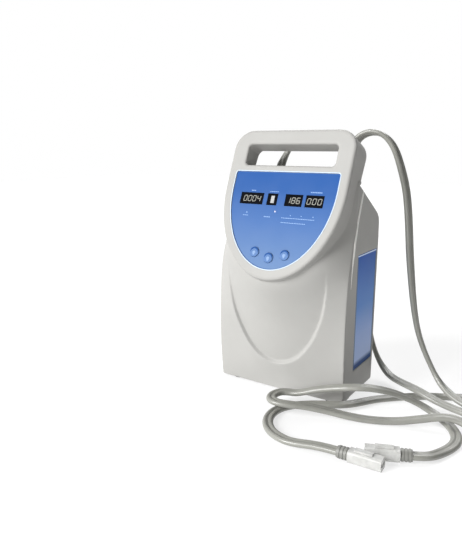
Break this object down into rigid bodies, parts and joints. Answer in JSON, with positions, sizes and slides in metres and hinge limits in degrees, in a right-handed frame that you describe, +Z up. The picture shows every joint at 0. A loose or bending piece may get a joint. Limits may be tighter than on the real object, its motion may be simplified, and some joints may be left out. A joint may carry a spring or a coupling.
{
  "type": "compression therapy pump",
  "caption": "Table-top air compression pump with a leaning control head, displays, round keys, a carrying handle and limp air hoses for inflatable sleeves.",
  "frame": {"origin": "centre of the pump's footprint on the table, under the middle of its box without the hoses", "axes": "+Z up, -Y towards the user in front of the control panel, +X to the user's right"},
  "size_m": [0.4316, 0.269, 0.3252],
  "materials": {
    "shell": "fine satin, moulded light warm grey",
    "panel_blue": "printed film, satin blue that lightens downwards",
    "key_blue": "satin blue domes",
    "inlay_blue": "glossy dark blue",
    "display_black": "black with pale segments",
    "led_red": "clear dome",
    "hose_grey": "glossy soft PVC",
    "connector_clear": "translucent white",
    "collar_grey": "satin dark grey",
    "port_grey": "satin grey",
    "foot_rubber": "matte black",
    "black_plastic": "satin black",
    "brass": "bare",
    "steel": "zinc plated",
    "board_green": "solder mask",
    "cast_metal": "as cast",
    "clear_tube": "soft silicone"
  },
  "bodies": {
    "housing": {"front_shell": "shell", "rear_casing": "shell", "control_panel": "panel_blue", "side_panel_right": "inlay_blue", "side_panel_left": "inlay_blue", "display_time": "display_black", "display_bar": "display_black", "display_mode": "display_black", "display_pressure": "display_black", "indicator_led": "led_red", "hose_right": "hose_grey", "hose_left": "hose_grey", "hose_connector_right": "connector_clear", "hose_connector_left": "connector_clear", "connector_collar_right": "collar_grey", "connector_collar_left": "collar_grey", "hose_plug_right": "collar_grey", "hose_plug_left": "collar_grey", "hose_port_right": "port_grey", "hose_port_left": "port_grey", "foot_front_right": "foot_rubber", "foot_front_left": "foot_rubber", "foot_rear_right": "foot_rubber", "foot_rear_left": "foot_rubber", "compressor_mounts": "foot_rubber", "mains_inlet": "black_plastic", "switch_frame": "black_plastic", "key_switches": "black_plastic", "mains_pins": "brass", "board_screws": "steel", "casing_screws": "steel", "solenoid_valve_right": "steel", "solenoid_valve_left": "steel", "display_board": "board_green", "control_board": "board_green", "power_supply": "board_green", "compressor": "cast_metal", "compressor_head": "cast_metal", "manifold": "cast_metal", "air_tube_supply": "clear_tube", "air_tube_right": "clear_tube", "air_tube_left": "clear_tube"},
    "key_left": {"button_left": "key_blue"},
    "key_middle": {"button_middle": "key_blue"},
    "key_right": {"button_right": "key_blue"},
    "rocker": {"power_rocker": "black_plastic"}
  },
  "joints": [
    {"name": "press_left", "type": "slide", "parent": "housing", "child": "key_left", "axis": [0, 0.9232, -0.3843], "range_m": [0, 0.0008], "stiffness_N_per_m": 1500, "springref_m": -0.0004},
    {"name": "press_middle", "type": "slide", "parent": "housing", "child": "key_middle", "axis": [0, 0.9232, -0.3843], "range_m": [0, 0.0008], "stiffness_N_per_m": 1500, "springref_m": -0.0004},
    {"name": "press_right", "type": "slide", "parent": "housing", "child": "key_right", "axis": [0, 0.9232, -0.3843], "range_m": [0, 0.0008], "stiffness_N_per_m": 1500, "springref_m": -0.0004},
    {"name": "power_switch", "type": "hinge", "parent": "housing", "child": "rocker", "pos_m": [0.008, 0.0669, 0.038], "axis": [1, 0, 0], "range_deg": [-16, 0]}
  ]
}
